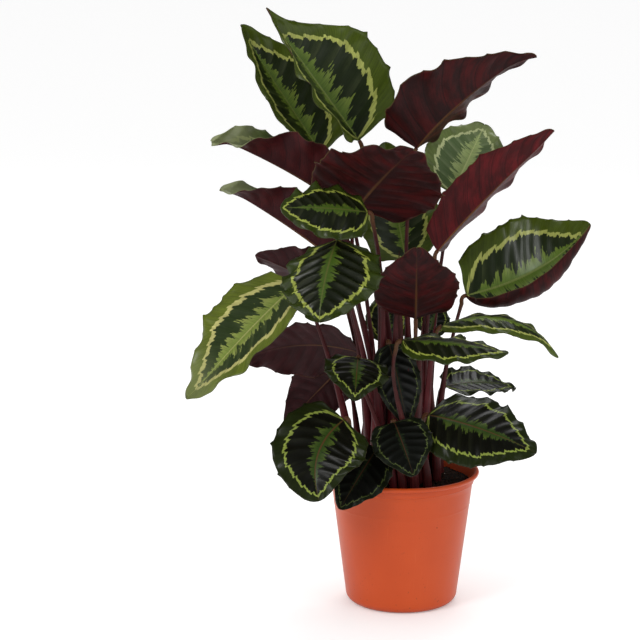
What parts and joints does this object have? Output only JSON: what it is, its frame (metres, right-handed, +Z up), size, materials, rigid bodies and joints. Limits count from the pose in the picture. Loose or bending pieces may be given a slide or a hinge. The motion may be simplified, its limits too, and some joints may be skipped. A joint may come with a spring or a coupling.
{
  "type": "potted calathea",
  "caption": "Patterned foliage plant with broad oval leaves on upright stalks, growing in a tapered round plastic nursery pot with drainage holes.",
  "frame": {"origin": "centre of the pot's flat underside, on the surface that the pot stands on", "axes": "+Z up along the pot's axis; -Y towards the plant's front, +X to its right"},
  "size_m": [0.5339, 0.3735, 0.8071],
  "materials": {
    "pot_plastic": "moulded terracotta orange, satin, lightly scuffed",
    "soil": "damp dark potting mix",
    "blade": "olive and dark green with a pale ring above, burgundy below, satin to glossy",
    "petiole": "reddish stalks, satin"
  },
  "bodies": {
    "root": {"pot": "pot_plastic", "soil": "soil", "petiole_high_left_back": "petiole", "blade_high_left_back": "blade", "petiole_high_left": "petiole", "blade_high_left": "blade", "petiole_high_right": "petiole", "blade_high_right": "blade", "petiole_centre_front": "petiole", "blade_centre_front": "blade", "petiole_upper_left_long": "petiole", "blade_upper_left_long": "blade", "petiole_upper_left_front": "petiole", "blade_upper_left_front": "blade", "petiole_left_reaching": "petiole", "blade_left_reaching": "blade", "petiole_left_back": "petiole", "blade_left_back": "blade", "petiole_left_drooping": "petiole", "blade_left_drooping": "blade", "petiole_centre_hanging": "petiole", "blade_centre_hanging": "blade", "petiole_left_low": "petiole", "blade_left_low": "blade", "petiole_left_lowest": "petiole", "blade_left_lowest": "blade", "petiole_front_small": "petiole", "blade_front_small": "blade", "petiole_centre_shaded": "petiole", "blade_centre_shaded": "blade", "petiole_centre_upright": "petiole", "blade_centre_upright": "blade", "petiole_upper_right_back": "petiole", "blade_upper_right_back": "blade", "petiole_right_reaching": "petiole", "blade_right_reaching": "blade", "petiole_centre_back": "petiole", "blade_centre_back": "blade", "petiole_right_spread": "petiole", "blade_right_spread": "blade", "petiole_right_arching": "petiole", "blade_right_arching": "blade", "petiole_right_front": "petiole", "blade_right_front": "blade", "petiole_right_low_back": "petiole", "blade_right_low_back": "blade", "petiole_right_bottom": "petiole", "blade_right_bottom": "blade", "petiole_front_bottom": "petiole", "blade_front_bottom": "blade", "petiole_left_bottom": "petiole", "blade_left_bottom": "blade", "petiole_left_bottom_inner": "petiole", "blade_left_bottom_inner": "blade", "petiole_right_inner": "petiole", "blade_right_inner": "blade", "petiole_back_inner": "petiole", "blade_back_inner": "blade", "petiole_back_low": "petiole", "blade_back_low": "blade"}
  },
  "joints": []
}
